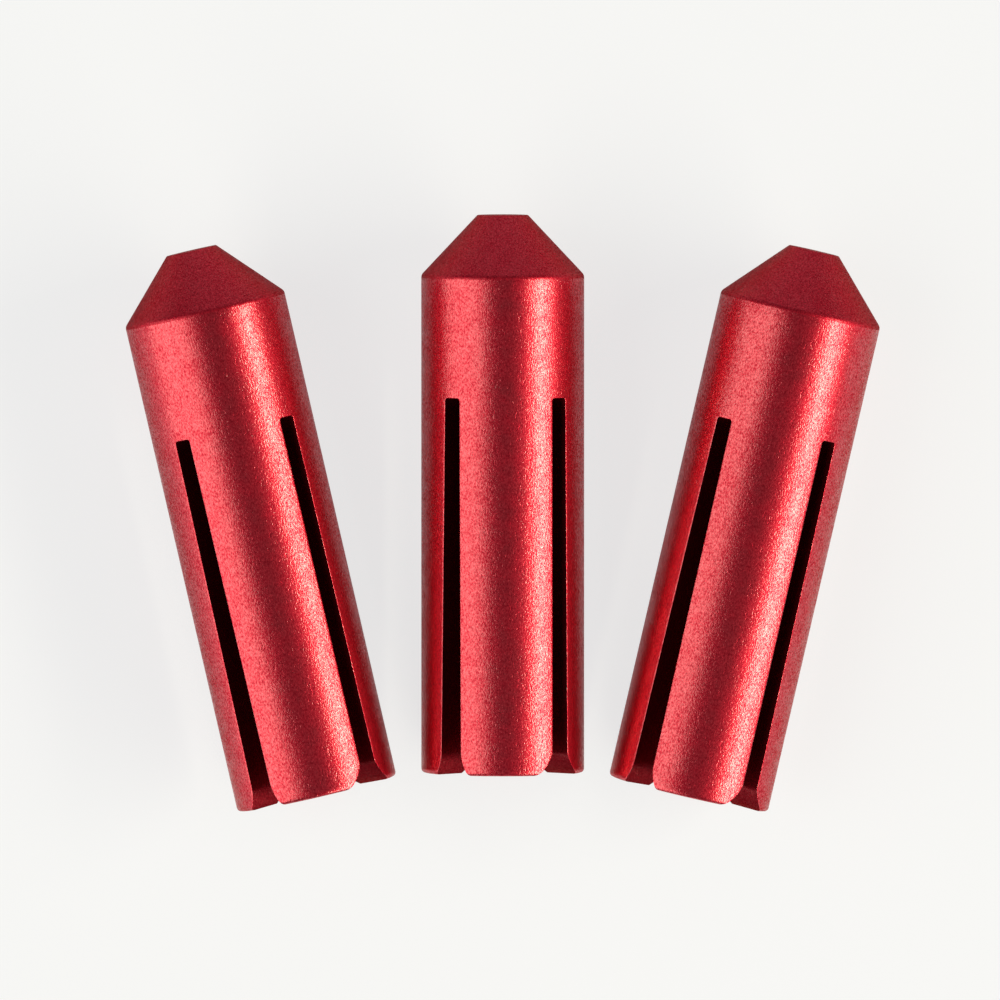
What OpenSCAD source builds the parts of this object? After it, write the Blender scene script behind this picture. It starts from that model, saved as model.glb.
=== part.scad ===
// Set of three dart flight protectors, lying in a fan on a flat surface.
// Each protector is one piece of turned aluminium bar: a conical nose, a bore from the open end,
// and two crossed saw cuts that leave four prongs. The cuts slide over the tail fins of a flight.
// A protector is drawn upright, open end at z = 0, then laid down with its nose towards +Y.

/* [Body] */
// Outer diameter of a protector
body_d = 4.5; // [3.8:0.1:6]
// Length from the open end to the flat tip
body_l = 15.4; // [14:0.1:18]
// Length of the conical nose
nose_l = 1.65; // [1:0.05:2.5]
// Diameter of the flat at the tip of the nose
tip_d = 1.4; // [0.8:0.1:2.4]
// Radius that blends the nose into the body
shoulder_r = 0.2; // [0.05:0.05:0.6]
// Radius that rounds the outer rim at the open end
rim_r = 0.1; // [0.05:0.01:0.3]

/* [Bore] */
// Diameter of the bore
bore_d = 2.2; // [1.6:0.1:2.6]
// How far the straight wall of the bore stops short of the closed end of the slots
bore_stop_short = 0.3; // [0.1:0.1:1]
// Included angle of the drill point at the end of the bore
drill_angle = 118; // [90:1:140]
// Width of the chamfer at the mouth of the bore
bore_chamfer = 0.15; // [0.05:0.01:0.25]

/* [Slots] */
// Length of the slots from the open end
slot_l = 10.4; // [8:0.1:11.4]
// Width of a slot at its closed end
slot_w = 0.5; // [0.3:0.02:0.7]
// Width at its open end of the cut left of the narrow prong, not counting the lead-in
left_mouth_w = 0.7; // [0.5:0.02:0.8]
// Width at its open end of the cut right of the narrow prong, not counting the lead-in
right_mouth_w = 0.58; // [0.5:0.02:0.8]
// Corner radius at the closed end of a slot
slot_end_r = 0.08; // [0.02:0.01:0.14]
// How far the lead-in reaches up a slot
lead_in_l = 0.62; // [0.3:0.02:1]
// How much the lead-in widens the cut left of the narrow prong, on each side
left_lead_in_w = 0.22; // [0.2:0.02:0.6]
// How much the lead-in widens the cut right of the narrow prong, on each side
right_lead_in_w = 0.48; // [0.2:0.02:0.6]
// Radius of the convex lead-in on each prong corner
lead_in_r = 1.2; // [1:0.1:3]
// Distance that both saw cuts run off the axis at their closed end, which leaves one prong narrower
saw_offset = 0.15; // [0:0.01:0.25]
// Angle at which both cuts lean back towards the axis on their way to the open end
saw_lean = 0.3; // [0:0.1:0.6]

/* [Layout] */
// Lean of the two outer protectors, noses outwards
fan_angle = 13; // [5:1:25]
// Clear gap between neighbouring protectors at their open ends
fan_gap = 0.69; // [0.4:0.01:2]
// How far the open ends of the outer protectors sit behind the middle one
fan_drop = 0.59; // [0:0.01:2]
// Turn of each protector about its own axis, narrow prong near the top
roll = 2.7; // [-10:0.1:10]

/* [Hidden] */

$fn = 96;
// Overlap that carries a cutting shape past the surface it opens
cut_past = 0.5;
// How far the shape that cuts a lead-in runs past both ends of its arc
past_arc = 0.05;
anodised_red = [0.66, 0.1, 0.14];

body_r = body_d / 2;
tip_r = tip_d / 2;
bore_r = bore_d / 2;
shoulder_z = body_l - nose_l;
// Angle between the nose's surface and the axis
nose_angle = atan((body_r - tip_r) / nose_l);
// Distance along either face from the sharp shoulder to where its blend begins
blend_l = shoulder_r * tan(nose_angle / 2);
bore_depth = slot_l - bore_stop_short;
drill_point_l = bore_r / tan(drill_angle / 2);

// Height at which the straight sides of a slot end and its closed corners begin
slot_side_l = slot_l - slot_end_r;
// Half of a slot's width at a height above the open end
function slot_half_w(height, mouth_w) = (mouth_w + (slot_w - mouth_w) * height / slot_side_l) / 2;

// Place of the open end of an outer protector, sideways from the middle one
fan_pitch = body_r * (1 + cos(fan_angle)) + fan_gap;
// Lowest and highest reach of the set along Y, with the middle open end at zero
rim_reach = (body_r - rim_r) * sin(fan_angle) + rim_r * (1 - cos(fan_angle));
set_low = -fan_drop - rim_reach;
set_high = max(body_l, body_l * cos(fan_angle) + tip_r * sin(fan_angle) - fan_drop);
set_middle = (set_low + set_high) / 2;

// Half of the turned shape, before it is bored: axis at x = 0, open end at y = 0
module turned_profile() {
    difference() {
        polygon([
            [0, 0],
            [body_r, 0],
            [body_r, shoulder_z],
            [tip_r, body_l],
            [0, body_l]
        ]);
        rim_waste();
        shoulder_waste();
    }
}

// What rounding takes off the outer rim
module rim_waste() {
    translate([body_r - rim_r, 0])
        difference() {
            translate([0, -cut_past])
                square([rim_r + cut_past, rim_r + cut_past]);
            translate([0, rim_r])
                circle(r = rim_r);
        }
}

// What the blend takes off the corner between body and nose: a wedge outside the blend's circle
module shoulder_waste() {
    reach = shoulder_r + cut_past;
    translate([body_r - shoulder_r, shoulder_z - blend_l])
        difference() {
            polygon([[0, 0], [reach, 0], reach * [cos(nose_angle), sin(nose_angle)]]);
            circle(r = shoulder_r);
        }
}

// Half of the drilled space: chamfered mouth, straight wall and drill point
module bore_profile() {
    polygon([
        [0, -cut_past],
        [bore_r + bore_chamfer + cut_past, -cut_past],
        [bore_r, bore_chamfer],
        [bore_r, bore_depth],
        [0, bore_depth + drill_point_l]
    ]);
}

// Outline of one saw cut, seen along the cut: width along x, open end at y = 0
module slot_outline(mouth_w, lead_in_w) {
    polygon([
        [-slot_half_w(-cut_past, mouth_w), -cut_past],
        [slot_half_w(-cut_past, mouth_w), -cut_past],
        [slot_w / 2, slot_side_l],
        [-slot_w / 2, slot_side_l]
    ]);
    translate([-slot_w / 2 + slot_end_r, slot_side_l - slot_end_r])
        square([slot_w - 2 * slot_end_r, 2 * slot_end_r]);
    for (side = [-1, 1]) {
        translate([side * (slot_w / 2 - slot_end_r), slot_side_l])
            circle(r = slot_end_r);
        mirror([side < 0 ? 1 : 0, 0])
            lead_in_waste(mouth_w, lead_in_w);
    }
}

// What the lead-in takes off the prong corner at the +x side of a slot: all that lies outside an arc
// from the slot's wall to the open end
module lead_in_waste(mouth_w, lead_in_w) {
    wall = [slot_half_w(lead_in_l, mouth_w), lead_in_l];
    foot = [slot_half_w(0, mouth_w) + lead_in_w, 0];
    chord = foot - wall;
    // Distance from the middle of the chord to the centre of the arc
    inset = sqrt(lead_in_r ^ 2 - (chord * chord) / 4);
    centre = (wall + foot) / 2 + inset * [-chord.y, chord.x] / norm(chord);
    difference() {
        translate([0, -cut_past])
            square([foot.x + past_arc, cut_past + lead_in_l + past_arc]);
        translate(centre)
            circle(r = lead_in_r);
    }
}

// One saw cut right through the body, in the plane x = 0 but for its lean about the closed end
module saw_cut(mouth_w, lead_in_w, lean) {
    rotate([90, 0, 0])
        linear_extrude(height = body_d + 2 * cut_past, center = true)
            translate([0, slot_l])
                rotate(lean)
                    translate([0, -slot_l])
                        slot_outline(mouth_w, lead_in_w);
}

// One protector upright on its open end, with the narrow prong towards -Y
module protector() {
    color(anodised_red)
        difference() {
            rotate_extrude()
                turned_profile();
            rotate_extrude()
                bore_profile();
            union() {
                rotate([0, 0, roll - 45])
                    translate([saw_offset, 0, 0])
                        saw_cut(left_mouth_w, left_lead_in_w, -saw_lean);
                rotate([0, 0, roll + 45])
                    translate([-saw_offset, 0, 0])
                        saw_cut(right_mouth_w, right_lead_in_w, saw_lean);
            }
        }
}

// One protector laid in the fan: place is -1 for left, 0 for the middle and 1 for right
module laid_protector(place) {
    translate([place * fan_pitch, -abs(place) * fan_drop - set_middle, body_r])
        rotate([0, 0, -place * fan_angle])
            rotate([-90, 0, 0])
                protector();
}

module left_protector() {
    laid_protector(-1);
}

module centre_protector() {
    laid_protector(0);
}

module right_protector() {
    laid_protector(1);
}

left_protector();
centre_protector();
right_protector();
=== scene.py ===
from math import asin, atan2, cos, degrees, hypot, pi, radians, sin, sqrt, tan

import bmesh
import bpy
from mathutils import Euler, Matrix, Vector


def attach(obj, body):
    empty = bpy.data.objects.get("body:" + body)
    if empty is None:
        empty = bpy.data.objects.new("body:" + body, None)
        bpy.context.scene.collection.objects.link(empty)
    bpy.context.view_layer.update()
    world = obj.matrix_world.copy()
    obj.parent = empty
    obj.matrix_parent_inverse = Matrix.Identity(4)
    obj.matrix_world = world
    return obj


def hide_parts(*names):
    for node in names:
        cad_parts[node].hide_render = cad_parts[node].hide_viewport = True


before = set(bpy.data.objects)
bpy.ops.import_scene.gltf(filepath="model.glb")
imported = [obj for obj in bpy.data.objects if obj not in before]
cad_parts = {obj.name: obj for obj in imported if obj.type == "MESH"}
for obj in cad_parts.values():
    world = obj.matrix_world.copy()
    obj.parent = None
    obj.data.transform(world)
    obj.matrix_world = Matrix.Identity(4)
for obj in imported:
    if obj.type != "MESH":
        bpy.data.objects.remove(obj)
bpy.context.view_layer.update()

# Flight protectors
# Three loose caps, each turned from one piece of aluminium bar: a conical nose, a drilled bore, and two
# crossed saw cuts that leave four springy prongs. They are etched to a satin skin and anodised red.

# The caps are drawn in millimetres and laid out in metres
MM = 0.001

body_r = 2.25
body_l = 15.4
nose_l = 1.65
tip_r = 0.7
tip_edge_r = 0.04
shoulder_r = 0.2
rim_r = 0.1
# Angle between the nose and the axis, and the height at which the rounded shoulder leaves the straight body
nose_slope = atan2(body_r - tip_r, nose_l)
shoulder_start = body_l - nose_l - shoulder_r * tan(nose_slope / 2)

bore_r = 1.1
bore_depth = 10.1
bore_chamfer = 0.15
drill_half_angle = radians(118 / 2)
drill_point_l = bore_r / tan(drill_half_angle)
# Halfway through the wall of a prong
wall_middle_r = (body_r + bore_r) / 2

slot_l = 10.4
slot_w = 0.5
left_mouth_w = 0.7
right_mouth_w = 0.58
slot_end_r = 0.08
# Height at which the straight sides of a slot end and its closed corners begin
slot_side_l = slot_l - slot_end_r
lead_in_l = 0.62
left_lead_in_w = 0.22
right_lead_in_w = 0.48
lead_in_r = 1.2
saw_offset = 0.15
saw_lean = radians(0.3)
# A slot's walls keep within this angle of its middle, so that neighbouring slots never meet
slot_limit = radians(44)
# The saw leaves no sharp edge: the etch eats back the corner between slot and outside
slot_edge_break = 0.03

roll = radians(2.7)
fan_angle = radians(13)
fan_gap = 0.69
fan_drop = 0.59

# Faces round each prong, across each slot and round the whole cap
prong_columns = 34
half_prong = prong_columns // 2
slot_columns = 4
quarter_columns = prong_columns + slot_columns
all_columns = 4 * quarter_columns
# Rows of faces along each curve: degrees of turn at the rim and at a slot's closed end, steps elsewhere
rim_turns = (90, 60, 30, 0)
slot_end_turns = (0, 25, 50, 70, 90)
lead_in_steps = 5
tip_edge_steps = 3
shoulder_steps = 4
# Narrow strips that keep the shading of an edge out of the wide faces beside it
edge_strip = 0.06
edge_strip_share = 0.02
shoulder_strip = 0.3
# Edges sharper than this aren't smoothed over
sharp_angle = radians(40)
# Distances below this count as none
hairline = 1e-4


def straight_half_width(height, mouth_w):
    """Half of the slot's width from the saw alone, which opens a little towards the mouth."""
    return (mouth_w + (slot_w - mouth_w) * height / slot_side_l) / 2


def lead_in_centre(mouth_w, lead_in_w):
    """Centre of the arc that rounds a prong's corner, as width from the slot's middle and height."""
    wall = Vector((straight_half_width(lead_in_l, mouth_w), lead_in_l))
    foot = Vector((mouth_w / 2 + lead_in_w, 0))
    chord = foot - wall
    inset = sqrt(lead_in_r ** 2 - (chord.length / 2) ** 2)
    return (wall + foot) / 2 + inset * Vector((-chord.y, chord.x)).normalized()


def slot_half_width(height, mouth_w, lead_in_w):
    """Half of the slot's width: lead-in at the mouth, straight sides, small radii in the closed end."""
    if height < lead_in_l:
        centre = lead_in_centre(mouth_w, lead_in_w)
        return centre.x - sqrt(lead_in_r ** 2 - (height - centre.y) ** 2)
    above_sides = min(height, slot_l) - slot_side_l
    if above_sides > 0:
        return slot_w / 2 - slot_end_r + sqrt(max(0, slot_end_r ** 2 - above_sides ** 2))
    return straight_half_width(height, mouth_w)


def outer_radius(height):
    """Radius of the outside below the shoulder, with its rim rounded."""
    below_body = rim_r - height
    if below_body > 0:
        return body_r - rim_r + sqrt(max(0, rim_r ** 2 - below_body ** 2))
    return body_r


def bore_radius(height):
    """Radius of the bore: chamfered mouth, straight wall, drill point."""
    point = max(0, height - bore_depth) * tan(drill_half_angle)
    return bore_r + max(0, bore_chamfer - height) - point


def arc(centre, radius, start, end, steps):
    """Points of an arc as (radius, height) pairs, between two turns in degrees."""
    turns = [radians(start + (end - start) * step / steps) for step in range(steps + 1)]
    return [(centre[0] + radius * cos(turn), centre[1] + radius * sin(turn)) for turn in turns]


def turned_profile():
    """Half-section of the cap: from the middle of the tip down the outside, then up the bore to its point."""
    nose_normal = degrees(nose_slope)
    tip_blend = tip_edge_r * tan((pi / 2 - nose_slope) / 2)
    profile = [(0, body_l)]
    profile += arc((tip_r - tip_blend, body_l - tip_edge_r), tip_edge_r, 90, nose_normal, tip_edge_steps)
    profile += arc((body_r - shoulder_r, shoulder_start), shoulder_r, nose_normal, 0, shoulder_steps)
    levels = [rim_r * (1 - sin(radians(turn))) for turn in rim_turns]
    for step in range(lead_in_steps + 1):
        levels.append(bore_chamfer + (lead_in_l - bore_chamfer) * step / lead_in_steps)
    levels.append(bore_depth)
    levels += [slot_l - slot_end_r * (1 - sin(radians(turn))) for turn in slot_end_turns]
    strips = [slot_l + edge_strip, shoulder_start - shoulder_strip]
    profile += [(outer_radius(height), height) for height in reversed(levels + strips)]
    profile += [(bore_radius(height), height) for height in levels]
    profile.append((0, bore_depth + drill_point_l))
    return profile


def wall_angle(slot_angle, side, radius, height):
    """Angle round the axis at which one wall of a slot crosses a circle of that radius."""
    # Both cuts run off the axis towards the front prong, at angle zero, but less so towards the mouth
    off_axis = saw_offset - max(0, slot_l - height) * tan(saw_lean)
    if sin(slot_angle) > 0:
        off_axis = -off_axis
    if tan(slot_angle) > 0:
        half_width = slot_half_width(height, right_mouth_w, right_lead_in_w)
    else:
        half_width = slot_half_width(height, left_mouth_w, left_lead_in_w)
    reach = (off_axis + side * half_width) / radius
    return slot_angle + asin(max(-sin(slot_limit), min(sin(slot_limit), reach)))


def prong_share(step):
    """How far round its prong a column lies: evenly spaced between the narrow strips along its edges."""
    if step in (0, prong_columns):
        return step / prong_columns
    return edge_strip_share + (1 - 2 * edge_strip_share) * (step - 1) / (prong_columns - 2)


def column_angle(column, radius, height):
    """Angle of a column of faces, so that columns follow the slots' walls and share out each prong."""
    quarter, step = divmod(column + half_prong, quarter_columns)
    before = radians(90 * quarter - 45)
    after = radians(90 * quarter + 45)
    prong_end = wall_angle(after, -1, radius, height)
    if step <= prong_columns:
        prong_start = wall_angle(before, 1, radius, height)
        return prong_start + (prong_end - prong_start) * prong_share(step)
    slot_end = wall_angle(after, 1, radius, height)
    return prong_end + (slot_end - prong_end) * (step - prong_columns) / slot_columns


def column_of(vert):
    """Number of the evenly spun column that a vertex lies in, counted from the front."""
    return round(atan2(vert.co.x, -vert.co.y) / (2 * pi) * all_columns) % all_columns


def slot_step(column):
    """Step of a column across its slot: zero to slot_columns between the walls, below zero on a prong."""
    step = (column + half_prong) % quarter_columns - prong_columns
    # A prong's first column is also the last wall of the slot before it
    return slot_columns if step == -prong_columns else step


def axis_distance(vert):
    """Distance of a vertex from the axis of its upright cap."""
    return hypot(vert.co.x, vert.co.y)


# Each pair holds the two ends between which the etched skin varies; slant tints what is mirrored at a slant
finishes = {
    # Skin of the drawn bar: a bright satin red under a clear, whiter gloss
    "drawn": {
        "dye": ("#730a1b", "#fe2e4b"), "roughness": (0.47, 0.36), "gloss": (0.1, 1), "slant": "#d89c9c",
    },
    # Nose cut on the lathe, with hardly any gloss; its darker dye and dark slant tint paint the shade on the
    # nose and along its edges
    "turned": {
        "dye": ("#5a0815", "#ea2b45"), "roughness": (0.55, 0.45), "gloss": (0.05, 0.25), "slant": "#804040",
    },
    # Walls left by the saw and the drill: matt, and dyed dark to paint the shade inside the slots and the
    # bore
    "sawn": {
        "dye": ("#34050b", "#991b2a"), "roughness": (0.62, 0.52), "gloss": (0, 0.1), "slant": "#ff8080",
    },
}
finish_order = list(finishes)


def spun_cap():
    """The upright cap before it is slotted, and the layer that marks each vertex with its column."""
    cap = bmesh.new()
    points = [cap.verts.new((0, -radius, height)) for radius, height in turned_profile()]
    lines = [cap.edges.new(pair) for pair in zip(points, points[1:])]
    bmesh.ops.spin(
        cap, geom=points + lines, cent=(0, 0, 0), axis=(0, 0, 1), angle=2 * pi,
        steps=all_columns, use_merge=True,
    )
    bmesh.ops.remove_doubles(cap, verts=cap.verts, dist=hairline)
    columns = cap.verts.layers.int.new("column")
    for vert in cap.verts:
        vert[columns] = column_of(vert)
    return cap, columns


def open_slots(cap, columns):
    """Slides the columns round the axis to meet the slots' walls, and takes out the faces between them."""
    for vert in cap.verts:
        radius, height = axis_distance(vert), vert.co.z
        if radius < hairline:
            continue
        # Above the slots, the columns run straight on from the closed ends
        at_wall = radius if height < slot_l + hairline else body_r
        angle = column_angle(vert[columns], at_wall, height)
        vert.co = Vector((radius * sin(angle), -radius * cos(angle), height))
    waste = [
        face for face in cap.faces
        if all(vert.co.z < slot_l + hairline and slot_step(vert[columns]) >= 0 for vert in face.verts)
    ]
    bmesh.ops.delete(cap, geom=waste, context="FACES")


def close_walls(cap, columns):
    """Bridges the sides and end of each slot from the outside to the bore, and returns their outer edges."""
    open_edges = [edge for edge in cap.edges if edge.is_boundary]
    outer_edges = []
    for quarter in range(4):
        first = quarter * quarter_columns + half_prong
        last = first + slot_columns
        first_side = [edge for edge in open_edges if all(vert[columns] == first for vert in edge.verts)]
        last_side = [edge for edge in open_edges if all(vert[columns] == last for vert in edge.verts)]
        closed_end = [
            edge for edge in open_edges
            if all(abs(vert.co.z - slot_l) < hairline for vert in edge.verts)
            and all(first <= vert[columns] <= last for vert in edge.verts)
        ]
        for side in (first_side, last_side, closed_end):
            outer = [edge for edge in side if all(axis_distance(vert) > wall_middle_r for vert in edge.verts)]
            inner = [edge for edge in side if all(axis_distance(vert) < wall_middle_r for vert in edge.verts)]
            walls = bmesh.ops.bridge_loops(cap, edges=outer + inner)["faces"]
            # The slot walls take the dark dye that paints the shade inside the slots
            for wall in walls:
                wall.material_index = finish_order.index("sawn")
            outer_edges += outer
    return outer_edges


def upright_protector():
    """One cap in millimetres, upright on its open end, with the narrow prong towards -Y."""
    cap, columns = spun_cap()
    open_slots(cap, columns)
    slot_edges = close_walls(cap, columns)
    bmesh.ops.recalc_face_normals(cap, faces=cap.faces)
    bmesh.ops.bevel(
        cap, geom=slot_edges, offset=slot_edge_break, offset_type="OFFSET", affect="EDGES",
        segments=2, profile=0.5, material=-1, clamp_overlap=True,
    )
    for face in cap.faces:
        face.smooth = True
        middle = face.calc_center_median()
        # The nose takes the darker dye and slant tint that paint shade on it
        if middle.z > shoulder_start:
            face.material_index = finish_order.index("turned")
        # The bore takes the dark dye that paints the shade inside it
        elif hypot(middle.x, middle.y) < bore_r + bore_chamfer:
            face.material_index = finish_order.index("sawn")
    return cap


# Widths of the etched grain, of the patches that the etch takes unevenly, and of the scattered pits
grain_w = 0.04
patch_w = 0.4
pit_w = 0.08
# Grain and pits are longer along the bar than across it, because the bar was drawn
drawn_out_scale = (1, 1, 0.6)
# Depths of the grain in the metal, of the same grain in the oxide film on it, and of the pits
metal_depth = 0.0025
film_depth = 0.01
pit_depth = 0.002
# Share of the patches in the unevenness of the film, and the span of it in which the gloss comes in
film_patch_share = 0.25
film_span = (0.37, 0.63)
# Where the pits' noise falls through this span, the skin drops into a pit
pit_span = (0.3, 0.42)
film_roughness = 0.2
film_ior = 1.85


def colour(hex_value):
    """An sRGB hex colour as linear red, green and blue."""
    channels = [int(hex_value[start:start + 2], 16) / 255 for start in (1, 3, 5)]
    linear = [c / 12.92 if c <= 0.04045 else ((c + 0.055) / 1.055) ** 2.4 for c in channels]
    return (*linear, 1)


def add_node(material, kind, settings=None, links=None):
    """Adds a node, sets its properties or socket values, and links its sockets from other nodes' outputs."""
    node = material.node_tree.nodes.new(kind)
    for key, value in (settings or {}).items():
        if isinstance(key, str) and hasattr(node, key):
            setattr(node, key, value)
        else:
            node.inputs[key].default_value = value
    for key, source in (links or {}).items():
        material.node_tree.links.new(source, node.inputs[key])
    return node


def anodised_aluminium(name, look, seed, mouth, turn):
    """Red anodised aluminium over an etched skin: satin metal with a fine grain drawn out along the bar,
    shallow pits that sparkle beside the highlights, and the clear, whiter gloss of the oxide film on top."""
    material = bpy.data.materials.new(name)
    material.use_nodes = True
    shader = material.node_tree.nodes["Principled BSDF"]
    coordinates = add_node(material, "ShaderNodeTexCoord")
    # Millimetres on the upright cap, so that the grain runs along each leaning piece
    on_cap = add_node(
        material, "ShaderNodeMapping",
        {"vector_type": "TEXTURE", "Location": mouth, "Rotation": turn, "Scale": (MM, MM, MM)},
        {"Vector": coordinates.outputs["Object"]},
    ).outputs["Vector"]
    drawn_out = add_node(
        material, "ShaderNodeMapping", {"Scale": drawn_out_scale}, {"Vector": on_cap},
    ).outputs["Vector"]
    grain = add_node(
        material, "ShaderNodeTexNoise",
        {"noise_dimensions": "4D", "W": seed, "Scale": 1 / grain_w, "Detail": 1, "Roughness": 0.5},
        {"Vector": drawn_out},
    ).outputs["Fac"]
    patches = add_node(
        material, "ShaderNodeTexNoise",
        {"noise_dimensions": "4D", "W": seed + 4, "Scale": 1 / patch_w, "Detail": 2},
        {"Vector": on_cap},
    ).outputs["Fac"]
    dyed = add_node(
        material, "ShaderNodeMix",
        {"data_type": "RGBA", 6: colour(look["dye"][0]), 7: colour(look["dye"][1])},
        {0: grain},
    ).outputs[2]
    satin = add_node(
        material, "ShaderNodeMapRange",
        {"To Min": look["roughness"][0], "To Max": look["roughness"][1]},
        {"Value": patches},
    ).outputs["Result"]
    unevenness = add_node(
        material, "ShaderNodeMix", {0: film_patch_share}, {2: grain, 3: patches},
    ).outputs[0]
    film = add_node(
        material, "ShaderNodeMapRange",
        {
            "From Min": film_span[0], "From Max": film_span[1],
            "To Min": look["gloss"][0], "To Max": look["gloss"][1],
        },
        {"Value": unevenness},
    ).outputs["Result"]
    pitting = add_node(
        material, "ShaderNodeTexNoise",
        {"noise_dimensions": "4D", "W": seed + 2, "Scale": 1 / pit_w, "Detail": 1, "Roughness": 0.5},
        {"Vector": drawn_out},
    ).outputs["Fac"]
    skin = add_node(
        material, "ShaderNodeMapRange",
        {"interpolation_type": "SMOOTHSTEP", "From Min": pit_span[0], "From Max": pit_span[1]},
        {"Value": pitting},
    ).outputs["Result"]
    pitted = add_node(
        material, "ShaderNodeBump", {"Strength": 1, "Distance": pit_depth * MM}, {"Height": skin},
    ).outputs["Normal"]
    metal_relief = add_node(
        material, "ShaderNodeBump",
        {"Strength": 1, "Distance": metal_depth * MM},
        {"Height": grain, "Normal": pitted},
    ).outputs["Normal"]
    film_relief = add_node(
        material, "ShaderNodeBump",
        {"Strength": 1, "Distance": film_depth * MM},
        {"Height": grain, "Normal": pitted},
    ).outputs["Normal"]
    links = material.node_tree.links
    links.new(dyed, shader.inputs["Base Color"])
    links.new(satin, shader.inputs["Roughness"])
    links.new(film, shader.inputs["Coat Weight"])
    links.new(metal_relief, shader.inputs["Normal"])
    links.new(film_relief, shader.inputs["Coat Normal"])
    shader.inputs["Metallic"].default_value = 1
    shader.inputs["Specular Tint"].default_value = colour(look["slant"])
    shader.inputs["Coat Roughness"].default_value = film_roughness
    shader.inputs["Coat IOR"].default_value = film_ior
    return material


# The fan, measured from the middle of the set's box: outer caps lean outwards and sit a little back
rim_reach = (body_r - rim_r) * sin(fan_angle) + rim_r * (1 - cos(fan_angle))
set_middle = (body_l - fan_drop - rim_reach) / 2
fan_pitch = body_r * (1 + cos(fan_angle)) + fan_gap

for place, node in ((-1, "left_protector"), (0, "centre_protector"), (1, "right_protector")):
    mouth = Vector((place * fan_pitch, -abs(place) * fan_drop - set_middle, body_r)) * MM
    turn = (
        Matrix.Rotation(-place * fan_angle, 3, "Z")
        @ Matrix.Rotation(radians(-90), 3, "X")
        @ Matrix.Rotation(roll, 3, "Z")
    ).to_euler()
    cap = upright_protector()
    bmesh.ops.transform(cap, matrix=Matrix.LocRotScale(mouth, turn, Vector((MM, MM, MM))), verts=cap.verts)
    mesh = bpy.data.meshes.new(f"flight_{node}")
    cap.to_mesh(mesh)
    cap.free()
    mesh.set_sharp_from_angle(angle=sharp_angle)
    piece = bpy.data.objects.new(f"flight_{node}", mesh)
    bpy.context.collection.objects.link(piece)
    # The seed gives each cap a grain of its own
    seed = 5 * place
    for finish, look in finishes.items():
        material = anodised_aluminium(f"{finish}_red_anodised_aluminium_{node}", look, seed, mouth, turn)
        mesh.materials.append(material)
    even_shading = piece.modifiers.new("even_shading", "WEIGHTED_NORMAL")
    even_shading.keep_sharp = True
    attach(piece, "root")
    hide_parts(node)

# Floor
# A plain sheet of pale, matt paper that the caps lie on, with the soft shadow that they cast on it.
# From here on, sizes are in metres.

# From its middle to each side
floor_reach = 0.6
# How much of the ground is white of itself, as the camera sees it and as the metal mirrors it
white_to_camera = 0.75
white_to_metal = 0.33

floor_mesh = bmesh.new()
bmesh.ops.create_grid(floor_mesh, x_segments=1, y_segments=1, size=floor_reach)
floor_data = bpy.data.meshes.new("floor")
floor_mesh.to_mesh(floor_data)
floor_mesh.free()
floor = bpy.data.objects.new("floor", floor_data)
bpy.context.collection.objects.link(floor)
paper = bpy.data.materials.new("pale_paper")
paper.use_nodes = True
paper_shader = paper.node_tree.nodes["Principled BSDF"]
paper_shader.inputs["Base Color"].default_value = colour("#d8dce5")
paper_shader.inputs["Roughness"].default_value = 0.9
paper_shader.inputs["Specular IOR Level"].default_value = 0.1
# The rest of the ground is lit paper, which keeps the caps' shadow
ray = add_node(paper, "ShaderNodeLightPath").outputs
mirrored = add_node(
    paper, "ShaderNodeMath",
    {"operation": "MAXIMUM"},
    {0: ray["Is Glossy Ray"], 1: ray["Is Transmission Ray"]},
).outputs[0]
mirrored_share = add_node(
    paper, "ShaderNodeMath", {"operation": "MULTIPLY", 1: white_to_metal}, {0: mirrored},
).outputs[0]
white_share = add_node(
    paper, "ShaderNodeMath",
    {"operation": "MULTIPLY_ADD", 1: white_to_camera},
    {0: ray["Is Camera Ray"], 2: mirrored_share},
).outputs[0]
white = add_node(paper, "ShaderNodeEmission", {"Color": (1, 1, 1, 1), "Strength": 1}).outputs["Emission"]
ground = add_node(
    paper, "ShaderNodeMixShader", links={0: white_share, 1: paper_shader.outputs["BSDF"], 2: white},
).outputs["Shader"]
paper.node_tree.links.new(ground, paper.node_tree.nodes["Material Output"].inputs["Surface"])
floor_data.materials.append(paper)

# Lights
# A broad softbox on the left, a narrow, brighter one on the right, and a pale card beyond the noses that the
# cones mirror, in a dim room.


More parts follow.
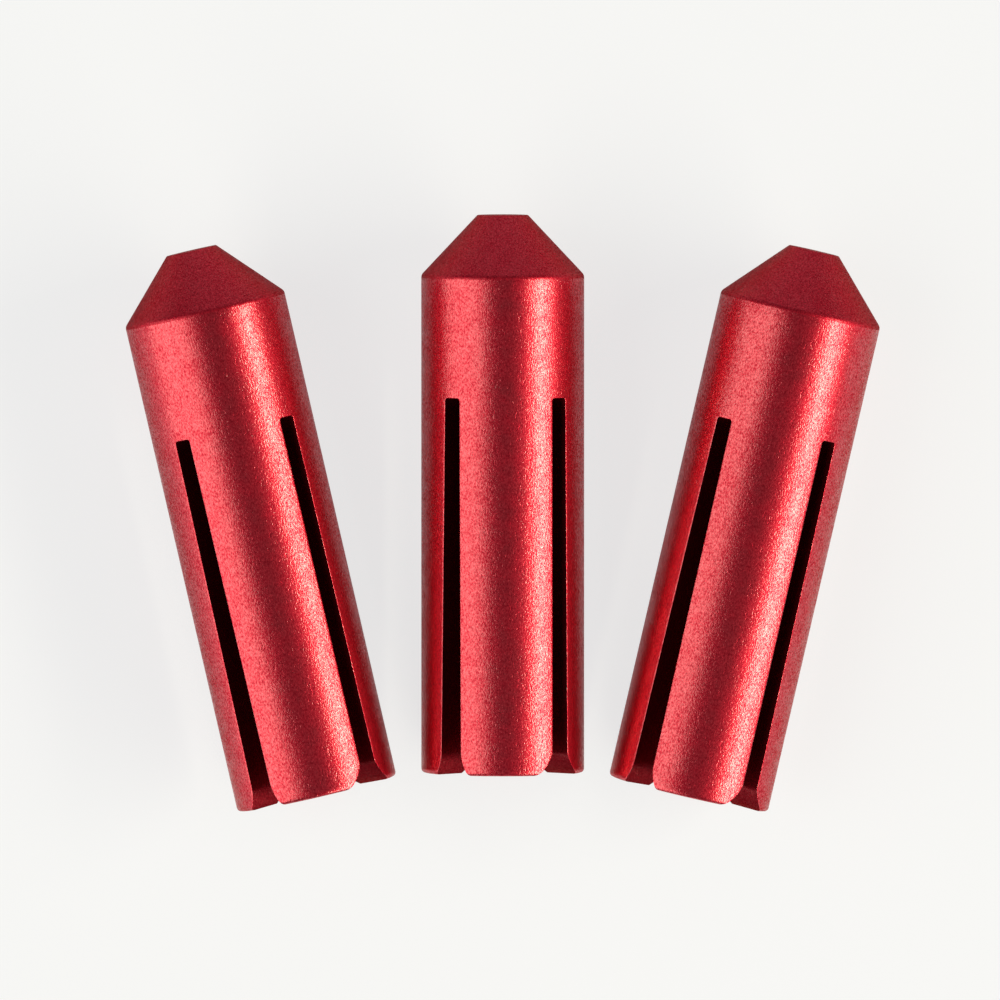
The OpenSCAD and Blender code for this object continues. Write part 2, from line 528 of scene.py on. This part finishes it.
def softbox(name, location, turn, width, length, brightness, tone):
    """A rectangular lamp with an evenly bright face, turned from facing straight down."""
    lamp = bpy.data.lights.new(name, "AREA")
    lamp.shape = "RECTANGLE"
    lamp.size = width
    lamp.size_y = length
    # The power goes with the area, so that a face of any size keeps its brightness
    lamp.energy = brightness * pi * width * length
    lamp.color = colour(tone)[:3]
    box = bpy.data.objects.new(name, lamp)
    box.location = location
    box.rotation_euler = turn
    bpy.context.collection.objects.link(box)


# Both side boxes stand nearer the open ends than the noses, so that the cones stay darker than the bodies
side_distance = 0.3
side_shift = -0.12
side_length = 0.44
for name, angle, width, brightness, tone in (
    ("left_softbox", radians(-59), 0.4, 2.05, "#fffcea"),
    ("right_softbox", radians(56.5), 0.07, 14.5, "#fff8da"),
):
    location = Vector((side_distance * sin(angle), side_shift, side_distance * cos(angle)))
    softbox(name, location, Euler((0, angle, 0)), width, side_length, brightness, tone)

# The card stands almost upright in the floor, which hides its lowest strip, and leans towards the noses
card_place = Vector((0, 0.3, 0.08))
card_turn = Euler((radians(-80), 0, 0))
card_width = 0.3
card_height = 0.2
card_brightness = 0.45
softbox("nose_card", card_place, card_turn, card_width, card_height, card_brightness, "#ffffff")

room_brightness = 0.085
world = bpy.data.worlds.new("dim_room")
bpy.context.scene.world = world
world.use_nodes = True
world.node_tree.nodes["Background"].inputs["Color"].default_value = (1, 1, 1, 1)
world.node_tree.nodes["Background"].inputs["Strength"].default_value = room_brightness

# Camera
# Nearly overhead, a few degrees towards the noses, with the long lens of a product shot.

view_distance = 0.5
view_tilt = radians(2.35)
# Width of what the camera takes in at the caps' axes
view_width = 0.02762
aim = Vector((-0.075, 0.362, body_r)) * MM
lens = bpy.data.cameras.new("camera")
lens.sensor_width = 36
lens.lens = lens.sensor_width * view_distance / view_width
lens.clip_start = 0.01
camera = bpy.data.objects.new("camera", lens)
camera.location = aim + Vector((0, sin(view_tilt), cos(view_tilt))) * view_distance
camera.rotation_euler = Euler((-view_tilt, 0, 0))
bpy.context.collection.objects.link(camera)
bpy.context.scene.camera = camera
bpy.context.scene.view_settings.view_transform = "Standard"
